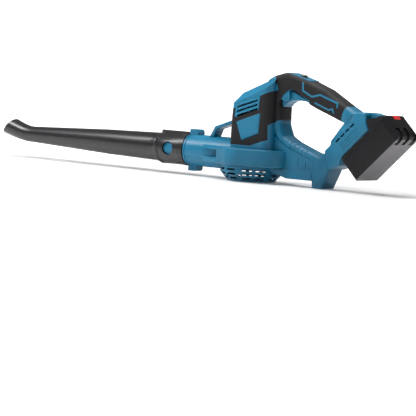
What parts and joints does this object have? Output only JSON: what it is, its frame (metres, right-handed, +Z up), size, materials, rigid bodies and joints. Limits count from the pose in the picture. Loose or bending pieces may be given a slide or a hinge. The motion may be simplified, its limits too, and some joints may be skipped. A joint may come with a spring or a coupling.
{
  "type": "cordless leaf blower",
  "caption": "Cordless handheld leaf blower: long tapered nozzle, round fan casing with slotted intake basket, closed loop handle with trigger, slide-on battery pack.",
  "frame": {"origin": "centre of the intake basket's flat bottom, on the fan's upright axis", "axes": "+Z up along the fan axis, nozzle points to -X, handle and battery at +X, the operator's left when looking along the nozzle is -Y"},
  "size_m": [0.9896, 0.126, 0.2087],
  "materials": {
    "blue_plastic": "moulded teal blue, satin with a fine grain",
    "black_rubber": "warm near-black soft overmould, matt",
    "dark_plastic": "dark grey moulded plastic",
    "button_plastic": "black, slightly glossy",
    "nozzle_plastic": "dark charcoal, satin with long soft highlights",
    "electrical_plastic": "black glass-filled plastic",
    "fan_plastic": "glass-filled grey-black",
    "battery_plastic": "near-black with a grey textured underside",
    "red_plastic": "bright red moulded plastic",
    "spring_steel": "bright wire",
    "steel": "zinc-plated",
    "plate_metal": "zinc-plated sheet",
    "lamination": "stacked laminations",
    "magnet": "dark sintered",
    "copper": "copper alloy",
    "circuit_board": "green solder mask",
    "wire_insulation": "soft insulation",
    "cell_wrap": "shrink sleeve"
  },
  "bodies": {
    "housing": {"housing_left": "blue_plastic", "housing_right": "blue_plastic", "grip_rubber_left": "black_rubber", "grip_rubber_right": "black_rubber", "side_plate_left": "blue_plastic", "side_plate_right": "blue_plastic", "vent_panel_left": "blue_plastic", "vent_panel_right": "blue_plastic", "thumb_plate": "blue_plastic", "lock_spring": "spring_steel", "switch_body": "electrical_plastic", "trigger_pin": "steel", "trigger_spring": "spring_steel", "outlet_spigot": "dark_plastic", "nozzle_button_spring": "spring_steel", "intake_basket": "blue_plastic", "inlet_ring": "dark_plastic", "basket_screws": "steel", "motor_plate": "plate_metal", "motor_screws": "steel", "motor_can": "plate_metal", "motor_magnets": "magnet", "motor_end_cap": "electrical_plastic", "carbon_brushes": "magnet", "lower_bearing": "steel", "upper_bearing": "steel", "terminal_block": "electrical_plastic", "terminal_blades": "copper", "control_board": "circuit_board", "power_leads": "wire_insulation", "housing_screws": "steel"},
    "rotor": {"fan": "fan_plastic", "motor_shaft": "steel", "fan_nut": "steel", "armature": "lamination", "commutator": "copper"},
    "nozzle_tube": {"nozzle": "nozzle_plastic"},
    "nozzle_catch": {"nozzle_release_button": "blue_plastic"},
    "trigger_lever": {"trigger": "blue_plastic"},
    "lock_key": {"lock_button": "button_plastic"},
    "battery_pack": {"battery_lower_case": "battery_plastic", "battery_upper_case": "battery_plastic", "battery_cells": "cell_wrap", "cell_strips": "plate_metal", "battery_board": "circuit_board", "battery_contacts": "copper", "battery_screws": "steel", "release_spring": "spring_steel"},
    "battery_catch": {"battery_release_button": "red_plastic"}
  },
  "joints": [
    {"name": "fan_spin", "type": "hinge", "parent": "housing", "child": "rotor", "pos_m": [0, 0, 0.05], "axis": [0, 0, 1], "continuous": true},
    {"name": "nozzle_slide", "type": "slide", "parent": "housing", "child": "nozzle_tube", "axis": [-1, 0, 0], "range_m": [0, 0.075]},
    {"name": "nozzle_button_press", "type": "slide", "parent": "housing", "child": "nozzle_catch", "axis": [0, 1, 0], "range_m": [0, 0.003], "stiffness_N_per_m": 600, "springref_m": -0.002, "deforming": ["nozzle_button_spring"]},
    {"name": "trigger_pull", "type": "hinge", "parent": "housing", "child": "trigger_lever", "pos_m": [0.084, 0, 0.1605], "axis": [0, -1, 0], "range_deg": [0, 10], "stiffness_Nm_per_rad": 0.6, "springref_deg": -8.59, "deforming": ["trigger_spring"]},
    {"name": "lock_press", "type": "slide", "parent": "housing", "child": "lock_key", "axis": [-0.2672, 0, -0.9636], "range_m": [0, 0.002], "stiffness_N_per_m": 500, "springref_m": -0.002, "deforming": ["lock_spring"]},
    {"name": "battery_slide_off", "type": "slide", "parent": "housing", "child": "battery_pack", "axis": [0.7145, 0, 0.6997], "range_m": [0, 0.12]},
    {"name": "battery_catch_press", "type": "slide", "parent": "battery_pack", "child": "battery_catch", "axis": [-0.7145, 0, -0.6997], "range_m": [0, 0.003], "stiffness_N_per_m": 600, "springref_m": -0.002, "deforming": ["release_spring"]}
  ]
}
